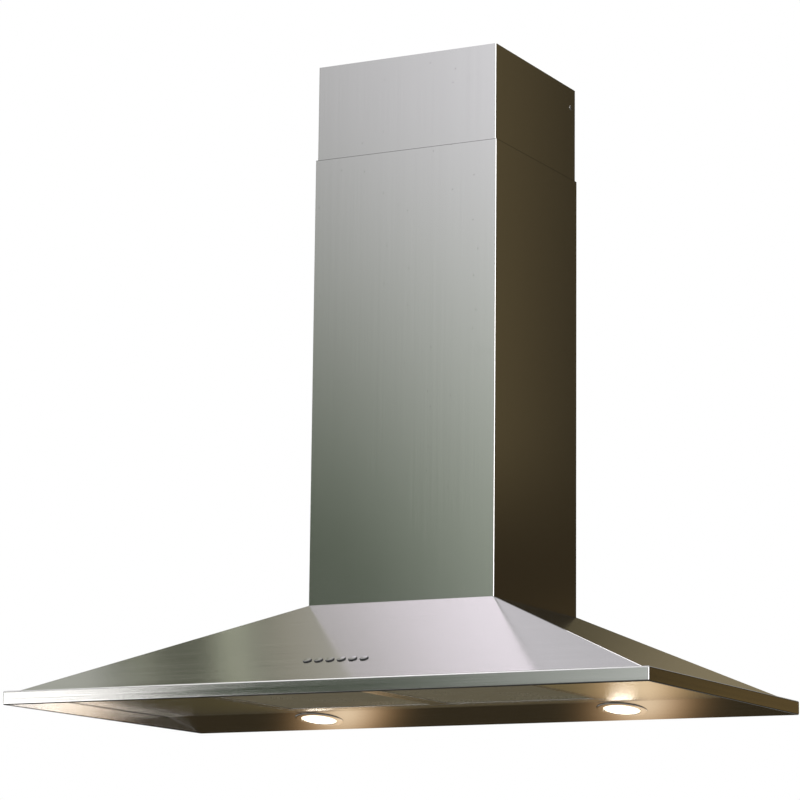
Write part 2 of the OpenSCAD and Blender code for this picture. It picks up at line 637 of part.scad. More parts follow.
module lamp_bulb(s) {
  at_lamp(s) {
    // lamp holder in the top of the can, then the capsule
    translate([0, 0, 24]) cylinder(r = 4.9, h = 10);
    translate([0, 0, 23]) cylinder(r = 7, h = 6.6);
    translate([0, 0, 9]) cylinder(r = 4.6, h = 14.2, $fn = 32);
    translate([0, 0, 9]) sphere(r = 4.6, $fn = 32);
  }
}
module lamp_bezel_left() { color([0.88, 0.88, 0.90]) drop() lamp_bezel(-1); }
module lamp_bezel_right() { color([0.88, 0.88, 0.90]) drop() lamp_bezel(1); }
module lamp_glass_left() { color([1.0, 0.96, 0.86]) drop() lamp_glass(-1); }
module lamp_glass_right() { color([1.0, 0.96, 0.86]) drop() lamp_glass(1); }
module lamp_can_left() { color([0.66, 0.67, 0.68]) drop() lamp_can(-1); }
module lamp_can_right() { color([0.66, 0.67, 0.68]) drop() lamp_can(1); }
module lamp_bulb_left() { color([0.95, 0.90, 0.75]) drop() lamp_bulb(-1); }
module lamp_bulb_right() { color([0.95, 0.90, 0.75]) drop() lamp_bulb(1); }

// ---------------------------------------------------------------- push buttons
// local frame: z = 0 on the visible face of the front slope, +z outward
button_zc = lip_h + (sy0 - button_y)*tan_front;
module at_button(i) {
  translate([(i - 2.5)*button_pitch, -button_y, button_zc]) rotate([a_front, 0, 0]) children();
}
module button(i) {
  r = button_d/2;
  at_button(i) {
    rotate_extrude($fn = 64) polygon([[0, -2.3], [r + 1.5, -2.3], [r + 1.5, -1.15], [r, -1.15], [r, 0.9],
      [r - 0.25, 1.4], [r - 0.9, 1.7], [0, 1.85]]);
    translate([0, 0, -9]) cylinder(r = 2, h = 7, $fn = 32);
  }
}
module button_1() { color([0.66, 0.66, 0.68]) drop() button(0); }
module button_2() { color([0.66, 0.66, 0.68]) drop() button(1); }
module button_3() { color([0.66, 0.66, 0.68]) drop() button(2); }
module button_4() { color([0.66, 0.66, 0.68]) drop() button(3); }
module button_5() { color([0.66, 0.66, 0.68]) drop() button(4); }
module button_6() { color([0.66, 0.66, 0.68]) drop() button(5); }

module switch_bank() {
  h = 3.5*button_pitch;
  color([0.15, 0.15, 0.17]) drop() difference() {
    translate([0, -button_y, button_zc]) rotate([a_front, 0, 0]) union() {
      box([-h, -9, -22], [h, 9, -6.6]);
      // end plates reach up to the back of the sheet
      for (s = [-1, 1]) box([s < 0 ? -h - 12 : h - 1, -9, -9], [s < 0 ? -h + 1 : h + 12, 9, -7]);
      for (s = [-1, 1]) translate([s*(h + 7), 0, -8]) cylinder(r = 4, h = 8 - sheet, $fn = 32);
      // row of tab terminals below
      for (k = [0:6]) box([-42 + 14*k - 3, -0.4, -26], [-42 + 14*k + 3, 0.4, -21]);
    }
    for (i = [0:5]) at_button(i) translate([0, 0, -14]) cylinder(r = 2.3, h = 10, $fn = 32);
  }
}

// ---------------------------------------------------------------- electrical parts inside the canopy
tb = [[262, -320], [330, -200]];
module terminal_box() {
  color([0.90, 0.90, 0.86]) drop() difference() {
    union() {
      box([tb[0][0], tb[0][1], pz1], [tb[1][0], tb[1][1], pz1 + 31]);
    }
    box([tb[0][0] + 2, tb[0][1] + 2, pz1 + 2], [tb[1][0] - 2, tb[1][1] - 2, pz1 + 32]);
    for (y = [-300, -232]) rod_x(tb[0][0] - 2, tb[0][0] + 4, y, pz1 + 18, 3.2);
  }
}
module terminal_lid() {
  color([0.86, 0.86, 0.82]) drop() union() {
    box([tb[0][0], tb[0][1], pz1 + 31], [tb[1][0], tb[1][1], pz1 + 33]);
    box([tb[0][0] + 2.2, tb[0][1] + 2.2, pz1 + 28], [tb[1][0] - 2.2, tb[1][1] - 2.2, pz1 + 31.2]);
  }
}
module transformer() {
  color([0.10, 0.10, 0.11]) drop() difference() {
    union() {
      box([-322, -300, pz1], [-262, -200, pz1 + 30]);
      box([-318, -314, pz1], [-266, -186, pz1 + 3]);
    }
    for (y = [-308, -192]) for (x = [-310, -274]) translate([x, y, pz1 - 1]) cylinder(r = 2, h = 6, $fn = 24);
    for (x = [-304, -280]) rod_y(-204, -198, x, pz1 + 16, 3.2);
  }
}
module capacitor() {
  color([0.80, 0.80, 0.80]) drop() {
    translate([-99, -212, flange_z + 14]) cylinder(r = 16, h = 62);
    translate([-99, -212, flange_z + 9]) cylinder(r = 4, h = 6);
    // clip to the wall of the box
    box([-119, -218, flange_z + 38], [-112, -206, flange_z + 50]);
  }
}
module cable_gland() {
  color([0.12, 0.12, 0.13]) drop() difference() {
    union() {
      translate([92, -40, box_top]) cylinder(r = 12, h = 3);
      translate([92, -40, box_top - 9]) cylinder(r = 8, h = 10);
      translate([92, -40, box_top + 2]) cylinder(r = 9, h = 10, $fn = 6);
      translate([92, -40, box_top + 12]) cylinder(r = 7, h = 5);
      translate([92, -40, box_top - 7]) cylinder(r = 11.5, h = 6, $fn = 6);
    }
    translate([92, -40, box_top - 12]) cylinder(r = 3.6, h = 34);
  }
}

// leads clipped inside the canopy, each along its own hand-picked corners
lead_r = 2.6;
lamp_route_l = bend([[-280, -203, pz1 + 16], [-280, -160, pz1 + 16], [-262, -110, 48], [-236, -70, 60], [-226, -47.9, 55], [-226, -50, 43.6]], 3);
lamp_route_r = bend([[-304, -203, pz1 + 16], [-304, -150, 36], [-290, -60, 46], [-262, -22, 60], [-150, -20, 72], [150, -20, 72], [214, -28, 64], [226, -47.9, 55], [226, -50, 43.6]], 3);
motor_route = bend([[60, sc_y, sc_z - mot_r - 0.1], [60, sc_y, sc_z - 50], [78, sc_y, 198], [104, -125, 188], [107, -150, 150], [107, -172, 118], [150, -190, 100], [228, -232, 54], [246, -232, pz1 + 18], [268, -232, pz1 + 18]], 3);
switch_route = bend([[3.5*button_pitch + 0.05, -415.8, 35.8], [74, -415.8, 35.8], [92, -412, 38], [150, -390, 48], [222, -330, 50], [246, -300, pz1 + 18], [268, -300, pz1 + 18]], 3);

module lamp_leads() {
  color([0.85, 0.85, 0.83]) drop() { sweep(lamp_route_r, 2, 8); sweep(lamp_route_l, 2, 8); }
}
module motor_lead() { color([0.85, 0.85, 0.83]) drop() sweep(motor_route, lead_r, 8); }
module switch_lead() { color([0.85, 0.85, 0.83]) drop() sweep(switch_route, lead_r, 8); }

canopy_shell();
lip_frame();
under_panel();
back_plate();
blower_box();
box_top_plate();
box_screws();
chimney_lower();
cover_screws();
chimney_upper();
chimney_bracket();
bracket_screws();
scroll_left();
scroll_right();
scroll_screws();
impeller();
motor_shaft();
motor_rotor();
motor_body();
motor_bearings();
motor_bracket();
motor_grommets();
motor_screws();
outlet_adaptor();
duct_collar();
flap_pin();
flap_front();
flap_rear();
filter_frame_left();
filter_frame_right();
filter_mesh_left();
filter_mesh_right();
filter_latch_left();
filter_latch_right();
latch_spring_left();
latch_spring_right();
lamp_bezel_left();
lamp_bezel_right();
lamp_glass_left();
lamp_glass_right();
lamp_can_left();
lamp_can_right();
lamp_bulb_left();
lamp_bulb_right();
switch_bank();
button_1();
button_2();
button_3();
button_4();
button_5();
button_6();
terminal_box();
terminal_lid();
transformer();
capacitor();
cable_gland();
lamp_leads();
motor_lead();
switch_lead();
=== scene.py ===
import json
import math

import bpy
from mathutils import Matrix, Vector


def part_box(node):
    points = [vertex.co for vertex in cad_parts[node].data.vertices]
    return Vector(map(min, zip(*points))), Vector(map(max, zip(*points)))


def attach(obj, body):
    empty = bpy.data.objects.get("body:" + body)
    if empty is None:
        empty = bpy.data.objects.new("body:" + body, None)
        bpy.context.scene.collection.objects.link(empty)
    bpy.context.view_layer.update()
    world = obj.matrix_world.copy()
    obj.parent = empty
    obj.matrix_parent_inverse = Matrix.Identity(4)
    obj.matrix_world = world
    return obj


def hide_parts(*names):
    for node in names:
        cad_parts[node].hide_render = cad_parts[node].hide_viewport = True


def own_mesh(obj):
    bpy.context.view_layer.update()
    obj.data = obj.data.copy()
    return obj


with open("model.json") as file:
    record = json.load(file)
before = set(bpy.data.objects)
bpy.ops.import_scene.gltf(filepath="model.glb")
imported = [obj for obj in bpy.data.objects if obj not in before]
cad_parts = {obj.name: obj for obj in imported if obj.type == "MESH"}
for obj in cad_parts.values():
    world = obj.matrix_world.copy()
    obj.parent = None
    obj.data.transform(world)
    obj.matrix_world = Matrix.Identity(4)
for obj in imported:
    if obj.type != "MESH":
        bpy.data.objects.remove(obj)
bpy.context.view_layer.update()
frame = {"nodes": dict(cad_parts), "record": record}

NODES = frame["nodes"]
scene = bpy.context.scene
scene.view_settings.view_transform = "Standard"
scene.view_settings.look = "None"


# ------------------------------------------------------------------ node helper
class Graph:
    """A small builder for node trees: add(kind, inputs, **properties)."""

    def __init__(self, tree):
        self.tree = tree
        tree.nodes.clear()

    def add(self, kind, inputs=None, **props):
        n = self.tree.nodes.new(kind)
        for k, v in props.items():
            setattr(n, k, v)
        for k, v in (inputs or {}).items():
            self.put(n.inputs[k], v)
        return n

    def put(self, socket, value):
        if isinstance(value, bpy.types.NodeSocket):
            self.tree.links.new(value, socket)
        else:
            socket.default_value = value

    def math(self, op, a, b=0.0, c=0.0, clamp=False):
        n = self.add("ShaderNodeMath", {0: a, 1: b, 2: c}, operation=op, use_clamp=clamp)
        return n.outputs[0]

    def ramp(self, x, a, b, c=0.0, d=1.0, kind="SMOOTHSTEP"):
        n = self.add("ShaderNodeMapRange", {0: x, 1: a, 2: b, 3: c, 4: d}, interpolation_type=kind)
        return n.outputs[0]

    def mix(self, f, a, b, blend="MIX"):
        n = self.add("ShaderNodeMix", data_type="RGBA", blend_type=blend, clamp_factor=True)
        self.put(n.inputs[0], f)
        self.put(n.inputs[6], a if isinstance(a, bpy.types.NodeSocket) else tuple(a)[:3] + (1.0,))
        self.put(n.inputs[7], b if isinstance(b, bpy.types.NodeSocket) else tuple(b)[:3] + (1.0,))
        return n.outputs[2]

    def vmix(self, f, a, b):
        n = self.add("ShaderNodeMix", data_type="VECTOR", clamp_factor=True)
        self.put(n.inputs[0], f)
        self.put(n.inputs[4], a)
        self.put(n.inputs[5], b)
        return n.outputs[1]

    def scaled(self, v, s, off=(0, 0, 0)):
        n = self.add("ShaderNodeVectorMath", {0: v, 1: s, 2: off}, operation="MULTIPLY_ADD")
        return n.outputs[0]

    def noise(self, v, scale=1.0, detail=2.0, rough=0.5, dist=0.0):
        n = self.add("ShaderNodeTexNoise", {"Vector": v, "Scale": scale, "Detail": detail, "Roughness": rough, "Distortion": dist})
        return n.outputs[0]

    def split(self, v):
        return self.add("ShaderNodeSeparateXYZ", {0: v}).outputs


class Mat(Graph):
    """A material with one Principled shader. Constant values go on the shader's own sockets."""

    def __init__(self, name, **values):
        self.m = bpy.data.materials.new(name)
        self.m.use_nodes = True
        super().__init__(self.m.node_tree)
        out = self.add("ShaderNodeOutputMaterial")
        self.b = self.add("ShaderNodeBsdfPrincipled")
        self.tree.links.new(self.b.outputs[0], out.inputs[0])
        for k, v in values.items():
            self.set(k.replace("_", " "), v)
        tc = self.add("ShaderNodeTexCoord")
        self.pos = tc.outputs["Object"]
        self.nrm = tc.outputs["Normal"]

    def set(self, name, value):
        self.put(self.b.inputs[name], value)

    def bump(self, height, strength, distance):
        n = self.add("ShaderNodeBump", {"Strength": strength, "Distance": distance, "Height": height})
        self.set("Normal", n.outputs[0])
        return n


def grey(v):
    return (v, v, v, 1.0)


# ------------------------------------------------------------------ materials
# half the pitch of the filter net's openings, along X and along Y
NET_DX, NET_DY = 0.2221 / 88, 0.2472 / 154
STEEL = (0.64, 0.637, 0.63)
# slope of the lamp strip
STRIP_RISE, STRIP_RUN = 16.2, 91.0


def brushed(name, base, rough, aniso, grain, tangent, fine=0.05, streak=0.05, smudge=0.05, depth=0.08, wave=0.0, tone=0.03, specks=False, painted_shade=None):
    """Brushed stainless steel. grain(m) gives the coordinates stretched along the grain,
    tangent(m) the direction across it, along which highlights spread."""
    m = Mat(name, Metallic=1.0, Anisotropic=aniso)
    g = grain(m)
    hair = m.noise(g, 1.0, 3.0, 0.6)
    band = m.noise(m.scaled(g, (1.0, 1.0, 1.0), (7.3, 2.1, 5.7)), 0.13, 2.0, 0.6)
    cloud = m.noise(m.pos, 5.0, 3.0, 0.55)
    spots = m.noise(m.scaled(m.pos, (1, 1, 1), (3.1, 1.7, 9.2)), 23.0, 4.0, 0.6)
    # roughness: hairlines, wider streaks and faint wiping marks
    r = m.math("ADD", rough, m.math("MULTIPLY", m.math("SUBTRACT", hair, 0.5), fine * 1.6))
    r = m.math("ADD", r, m.math("MULTIPLY", m.math("SUBTRACT", band, 0.5), streak * 1.6))
    r = m.math("ADD", r, m.math("MULTIPLY", m.math("SUBTRACT", cloud, 0.5), smudge))
    m.set("Roughness", r)
    lo = tuple(c * (1.0 - tone) for c in base)
    hi = tuple(min(1.0, c * (1.0 + tone)) for c in base)
    col = m.mix(m.ramp(m.math("ADD", m.math("MULTIPLY", hair, 0.5), m.math("MULTIPLY", band, 0.5)), 0.3, 0.7), lo, hi)
    col = m.mix(m.ramp(spots, 0.62, 0.80, 0.0, 0.10), col, tuple(c * 0.8 for c in base))
    # painted shade lines, where the material has them
    if painted_shade:
        col = painted_shade(m, col)
    height = m.math("ADD", hair, m.math("MULTIPLY", band, 1.5))
    if wave:
        height = m.math("ADD", height, m.math("MULTIPLY", m.noise(m.pos, 4.5, 1.0, 0.4), wave))
    if specks:
        px, py, pz = m.split(m.pos)
        flat = m.add("ShaderNodeCombineXYZ", {0: m.math("ADD", px, m.math("MULTIPLY", py, 0.83)), 1: pz}).outputs[0]
        v = m.add("ShaderNodeTexVoronoi", {"Vector": flat, "Scale": 30.0}, feature="F1", voronoi_dimensions="2D")
        pick = m.math("MULTIPLY", m.ramp(m.split(v.outputs["Color"])[0], 0.74, 0.76), m.ramp(facing_x(m), 0.4, 0.6, 1.0, 0.0))
        dot = m.math("MULTIPLY", m.ramp(v.outputs["Distance"], 0.010, 0.034, 1.0, 0.0), pick)
        col = m.mix(m.math("MULTIPLY", dot, 0.5), col, (0.20, 0.19, 0.18))
        height = m.math("ADD", height, m.math("MULTIPLY", dot, 9.0))
    m.set("Base Color", col)
    m.set("Tangent", tangent(m))
    m.bump(height, depth, 0.00025)
    return m.m


def shade_between(m, col, z0, z1, soft, dark):
    """Darkens a narrow band between two heights."""
    z = m.split(m.pos)[2]
    f = m.math("MULTIPLY", m.ramp(z, z0 - soft, z0 + soft), m.ramp(z, z1 - soft, z1 + soft, 1.0, 0.0))
    return m.mix(f, col, tuple(c * dark for c in STEEL))


def seam_shade(m, col):
    """Painted shade along the upper edge of the lower chimney cover, where the upper cover comes out of it."""
    return shade_between(m, col, 0.5412, 0.5424, 0.0002, 0.45)


def hem_shade(m, col):
    """Painted shade under the lip: a dark band along the closed hem, a dark line where the inner walls meet the panel,
    a darker right end face and a dark left end.
    """
    col = shade_between(m, col, -0.2015, -0.1987, 0.0003, 0.16)
    x, y, z = m.split(m.pos)
    # painted shade where the inner walls meet the panel
    inner = m.math("MULTIPLY", m.ramp(m.math("ABSOLUTE", x), 0.4478, 0.4483, 1.0, 0.0), m.ramp(y, -0.4883, -0.4878))
    joint_shade = m.math("MULTIPLY", m.ramp(z, -0.1852, -0.1849), inner)
    col = m.mix(m.math("MULTIPLY", joint_shade, 0.9), col, (0.06, 0.05, 0.04))
    # painted shade on the lip's right end face
    col = m.mix(m.math("MULTIPLY", m.ramp(x, 0.4485, 0.4495), 0.4), col, tuple(c * 0.5 for c in STEEL))
    # painted shade on the lip's left end
    return m.mix(m.ramp(m.math("ABSOLUTE", x), 0.4480, 0.4488, 0.0, m.ramp(x, -0.1, 0.1, 0.9, 0.0)), col, (0.10, 0.10, 0.10))


def grain_vertical(m):
    return m.scaled(m.pos, (1100.0, 1100.0, 7.0))


def facing_x(m, lo=0.2, hi=0.25):
    return m.ramp(m.math("ABSOLUTE", m.split(m.nrm)[0]), lo, hi)


def grain_lengthwise(m):
    """Along X on faces that look forward, up or down, along Y on the ones that look sideways."""
    return m.vmix(facing_x(m), m.scaled(m.pos, (6.0, 1100.0, 1100.0)), m.scaled(m.pos, (1100.0, 6.0, 1100.0)))


def across_vertical(m):
    return m.vmix(facing_x(m, 0.5, 0.55), (1.0, 0.0, 0.0), (0.0, 1.0, 0.0))


def across_lengthwise(m):
    return m.vmix(facing_x(m), (0.0, 1.0, 0.55), (1.0, 0.0, 0.4))


def across_down(m):
    return m.vmix(facing_x(m), (0.0, 1.0, 0.0), (1.0, 0.0, 0.0))


def across_lip(m):
    return m.vmix(facing_x(m), (0.0, 0.1, 1.0), (0.1, 0.0, 1.0))


steel_canopy = brushed("steel_canopy", STEEL, 0.10, 0.92, grain_lengthwise, across_lengthwise, fine=0.03, streak=0.03, smudge=0.03, wave=14.0)
steel_lip = brushed("steel_lip", STEEL, 0.13, 0.80, grain_lengthwise, across_lip, fine=0.06, streak=0.10, smudge=0.02, painted_shade=hem_shade)
steel_chimney = brushed("steel_chimney", STEEL, 0.105, 0.50, grain_vertical, across_vertical, fine=0.012, streak=0.0, smudge=0.02, depth=0.015, tone=0.012, specks=True, painted_shade=seam_shade)
steel_upper = brushed("steel_upper_cover", STEEL, 0.105, 0.50, grain_vertical, across_vertical, fine=0.012, streak=0.0, smudge=0.02, depth=0.015, tone=0.012, specks=True)
steel_under = brushed("steel_underside", (0.64, 0.625, 0.60), 0.17, 0.72, grain_lengthwise, across_down, fine=0.045, streak=0.04, smudge=0.03, depth=0.045)


def button_look():
    """A thin metal cap on the button's face; the rest of the button is painted near black as shade."""
    m = Mat("button_metal", Anisotropic=0.0)
    a = math.atan2(0.122, 0.225)
    d = m.add("ShaderNodeVectorMath", {0: m.nrm, 1: (0.0, -math.sin(a), math.cos(a))}, operation="DOT_PRODUCT").outputs["Value"]
    cap = m.ramp(d, 0.88, 0.96)
    hair = m.noise(m.scaled(m.pos, (60.0, 1500.0, 1500.0)), 1.0, 3.0, 0.6)
    n = m.noise(m.pos, 1300.0, 2.0, 0.5)
    m.set("Metallic", cap)
    # painted shade: all but the cap's face is near black
    m.set("Base Color", m.mix(cap, (0.018, 0.018, 0.019), m.mix(hair, (0.60, 0.598, 0.60), (0.66, 0.657, 0.66))))
    body = m.math("ADD", m.math("MULTIPLY", cap, -0.34), 0.46)
    m.set("Roughness", m.math("ADD", body, m.math("MULTIPLY", m.math("ADD", hair, n), 0.06)))
    m.bump(m.math("ADD", hair, n), 0.06, 0.0002)
    return m.m


button_metal = button_look()


def galvanised():
    m = Mat("galvanised", Metallic=1.0)
    v = m.add("ShaderNodeTexVoronoi", {"Vector": m.pos, "Scale": 95.0, "Randomness": 1.0}, feature="F1")
    cell = m.split(v.outputs["Color"])[0]
    n = m.noise(m.pos, 60.0, 4.0, 0.6)
    m.set("Base Color", m.mix(m.math("ADD", m.math("MULTIPLY", cell, 0.6), m.math("MULTIPLY", n, 0.4)), (0.52, 0.54, 0.56), (0.74, 0.76, 0.78)))
    m.set("Roughness", m.ramp(m.math("ADD", m.math("MULTIPLY", cell, 0.7), m.math("MULTIPLY", n, 0.3)), 0.1, 0.9, 0.34, 0.56))
    m.bump(m.math("ADD", cell, n), 0.15, 0.0004)
    return m.m


def turned(name, base, rough, scale=900.0):
    m = Mat(name, Metallic=1.0)
    n = m.noise(m.pos, scale, 3.0, 0.6)
    w = m.noise(m.pos, 90.0, 3.0, 0.6)
    m.set("Base Color", m.mix(m.ramp(w, 0.35, 0.75), base, tuple(c * 0.82 for c in base)))
    m.set("Roughness", m.math("ADD", m.ramp(n, 0.3, 0.7, rough - 0.05, rough + 0.05), m.ramp(w, 0.3, 0.7, -0.03, 0.06)))
    m.bump(n, 0.1, 0.0001)
    return m.m


def moulded(name, base, rough, grain_scale=1400.0, strength=0.25):
    m = Mat(name, Metallic=0.0)
    n = m.noise(m.pos, grain_scale, 2.0, 0.5)
    w = m.noise(m.pos, 30.0, 4.0, 0.6)
    m.set("Base Color", m.mix(m.ramp(w, 0.35, 0.7), base, tuple(min(1.0, c * 1.35 + 0.004) for c in base)))
    m.set("Roughness", m.math("ADD", m.ramp(n, 0.3, 0.7, rough - 0.05, rough + 0.05), m.ramp(w, 0.3, 0.7, -0.04, 0.06)))
    m.bump(n, strength, 0.00012)
    return m.m


def ring_metal():
    """Chromed ring, with the shadow gap along its outer edge."""
    m = Mat("lamp_chrome", Metallic=1.0)
    x, y, z = m.split(m.pos)
    dx = m.math("SUBTRACT", m.math("ABSOLUTE", x), 0.226)
    dy = m.math("MULTIPLY", m.math("ADD", y, 0.056), 1.0157)
    r = m.math("SQRT", m.math("ADD", m.math("MULTIPLY", dx, dx), m.math("MULTIPLY", dy, dy)))
    n = m.noise(m.pos, 900.0, 3.0, 0.6)
    w = m.noise(m.pos, 90.0, 3.0, 0.6)
    col = m.mix(m.ramp(w, 0.35, 0.75), (0.74, 0.72, 0.69), (0.64, 0.62, 0.59))
    m.set("Base Color", m.mix(m.ramp(r, 0.03335, 0.03345), col, (0.07, 0.065, 0.06)))
    m.set("Roughness", m.math("ADD", m.ramp(n, 0.3, 0.7, 0.10, 0.18), m.ramp(w, 0.3, 0.7, -0.02, 0.04)))
    m.bump(n, 0.05, 0.0001)
    return m.m


def mesh_metal():
    """Expanded aluminium: yellowish strands round openings that are painted dark as shade."""
    m = Mat("filter_mesh", Metallic=1.0)
    x, y, z = m.split(m.pos)
    u = m.math("MULTIPLY", m.math("SUBTRACT", m.math("ABSOLUTE", x), 0.0073), math.pi / NET_DX)
    v = m.math("MULTIPLY", m.math("ADD", y, 0.3799), math.pi / NET_DY)
    f = m.math("MULTIPLY", m.math("COSINE", u), m.math("COSINE", v))
    n = m.noise(m.pos, 700.0, 3.0, 0.6)
    w = m.noise(m.pos, 14.0, 4.0, 0.6)
    strand = m.mix(m.ramp(w, 0.3, 0.75), (0.64, 0.60, 0.46), (0.56, 0.51, 0.37))
    # painted shade in the net's openings
    m.set("Base Color", m.mix(m.ramp(f, -0.55, -0.15, 0.8, 0.0), strand, (0.10, 0.095, 0.085)))
    m.set("Roughness", m.math("ADD", m.ramp(n, 0.3, 0.7, 0.26, 0.36), m.ramp(w, 0.3, 0.7, -0.04, 0.06)))
    m.bump(n, 0.2, 0.0002)
    return m.m


def lamp_glow():
    """Frosted cover glass, lit: nearly white in the middle, warmer at the rim."""
    m = Mat("lamp_glass", Metallic=0.0)
    x, y, z = m.split(m.pos)
    dx = m.math("SUBTRACT", m.math("ABSOLUTE", x), 0.226)
    dy = m.math("MULTIPLY", m.math("ADD", y, 0.056), 1.01)
    r = m.math("SQRT", m.math("ADD", m.math("MULTIPLY", dx, dx), m.math("MULTIPLY", dy, dy)))
    n = m.noise(m.pos, 900.0, 2.0, 0.5)
    m.set("Base Color", (0.95, 0.93, 0.88, 1.0))
    m.set("Roughness", m.ramp(n, 0.3, 0.7, 0.30, 0.45))
    m.set("Emission Color", m.mix(m.ramp(r, 0.012, 0.024), (1.0, 0.94, 0.82), (1.0, 0.82, 0.56)))
    m.set("Emission Strength", m.ramp(r, 0.009, 0.0245, 8.5, 1.1))
    m.bump(n, 0.2, 0.0001)
    return m.m


def capsule():
    m = Mat("lamp_capsule", Metallic=0.0, Roughness=0.2)
    n = m.noise(m.pos, 300.0, 2.0, 0.5)
    m.set("Base Color", m.mix(n, (0.93, 0.92, 0.88), (0.86, 0.84, 0.78)))
    z = m.split(m.pos)[2]
    # the quartz part glows, the ceramic foot above it doesn't
    m.set("Emission Color", (1.0, 0.86, 0.62, 1.0))
    m.set("Emission Strength", m.ramp(z, -0.172, -0.168, 4.0, 0.0))
    return m.m


MATERIALS = {
    "steel_canopy": steel_canopy,
    "steel_lip": steel_lip,
    "steel_chimney": steel_chimney,
    "steel_underside": steel_under,
    "galvanised": galvanised(),
    "zinc_screws": turned("zinc_screws", (0.66, 0.66, 0.67), 0.30),
    "ground_steel": turned("ground_steel", (0.60, 0.60, 0.61), 0.22),
    "motor_iron": moulded("motor_iron", (0.10, 0.105, 0.115), 0.45, 500.0, 0.35),
    "bronze": turned("bronze", (0.58, 0.38, 0.19), 0.42),
    "black_plastic": moulded("black_plastic", (0.022, 0.022, 0.025), 0.48),
    "white_plastic": moulded("white_plastic", (0.72, 0.72, 0.68), 0.45),
    "black_rubber": moulded("black_rubber", (0.02, 0.02, 0.02), 0.75, 900.0, 0.4),
    "flap_aluminium": turned("flap_aluminium", (0.72, 0.73, 0.74), 0.34, 400.0),
    "filter_aluminium": brushed("filter_aluminium", (0.64, 0.63, 0.61), 0.26, 0.6, grain_lengthwise, across_down),
    "filter_mesh": mesh_metal(),
    "lamp_chrome": ring_metal(),
    "lamp_glass": lamp_glow(),
    "button_metal": button_metal,
    "lead_sheath": moulded("lead_sheath", (0.66, 0.66, 0.64), 0.5),
}
lamp_capsule = capsule()
# painted shade: a darker copy of the screw metal for the bracket screws on the chimney's dark side
shaded_screws = turned("shaded_screws", (0.30, 0.29, 0.27), 0.34)

for row in frame["record"]["subparts"]:
    o = NODES[row["node"]]
    mat = {"lamp_bulb_left": lamp_capsule, "lamp_bulb_right": lamp_capsule, "bracket_screws": shaded_screws, "chimney_upper": steel_upper}.get(row["node"], MATERIALS[row["material_slot"]])
    o.data.materials.clear()
    o.data.materials.append(mat)


# ------------------------------------------------------------------ folded edges
def fold_edges(node, width, pick, segments=3, flat=True):
    """Sheet steel has no knife edges: a small radius on the folds that pick(a, b) names."""
    o = NODES[node]
    me = o.data
    if "custom_normal" in me.attributes:
        me.attributes.remove(me.attributes["custom_normal"])
    for p in me.polygons:
        p.use_smooth = False
    at = me.attributes.get("bevel_weight_edge") or me.attributes.new("bevel_weight_edge", "FLOAT", "EDGE")
    n = 0
    for e in me.edges:
        a, b = (me.vertices[i].co for i in e.vertices)
        f = float(pick(a, b)) if (a - b).length > 0.004 else 0.0
        if f:
            at.data[e.index].value = f
            n += 1
    w = o.modifiers.new("join", "WELD")
    w.merge_threshold = 1e-5
    if flat:
        d = o.modifiers.new("flat", "DECIMATE")
        d.decimate_type = "DISSOLVE"
        d.angle_limit = math.radians(0.4)
    b = o.modifiers.new("fold", "BEVEL")
    b.width = width
    b.segments = segments
    b.limit_method = "WEIGHT"
    b.use_clamp_overlap = True
    h = o.modifiers.new("shade", "WEIGHTED_NORMAL")
    h.keep_sharp = True
    print("fold", node, n)


def near(v, t, tol=2e-4):
    return abs(v - t) < tol


def both(a, b, i, t):
    return near(a[i], t) and near(b[i], t)


def lip_fold(a, b):
    """The outer edges of the lip: round its top and bottom, and its two corners."""
    if both(a, b, 2, -0.182) or both(a, b, 2, -0.2):
        return (both(a, b, 1, -0.49) and abs(a.x - b.x) > 0.1) or (near(abs(a.x), 0.45) and near(abs(b.x), 0.45) and abs(a.y - b.y) > 0.1)
    return near(abs(a.x), 0.45) and near(abs(b.x), 0.45) and both(a, b, 1, -0.49)


def cover_fold(half, front):
    """The two front corners of a chimney cover."""
    def pick(a, b):
        up = near(abs(a.x), half) and near(abs(b.x), half) and both(a, b, 1, front) and abs(a.z - b.z) > 0.05
        return up
    return pick


lo_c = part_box("chimney_lower")
up_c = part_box("chimney_upper")


def hip(a, b):
    """The two hips of the canopy, outside."""
    top, foot = (a, b) if a.z > b.z else (b, a)
    return near(abs(top.x), 0.135) and near(top.y, -0.253) and near(top.z, -0.06) and near(abs(foot.x), 0.438) and near(foot.y, -0.478) and near(foot.z, -0.182)


fold_edges("lip_frame", 0.0022, lip_fold, 4)
fold_edges("canopy_shell", 0.0015, hip, 3, flat=False)
fold_edges("chimney_lower", 0.0012, cover_fold(0.135, -0.253), 4)
fold_edges("chimney_upper", 0.0012, cover_fold(0.133, -0.251), 4)


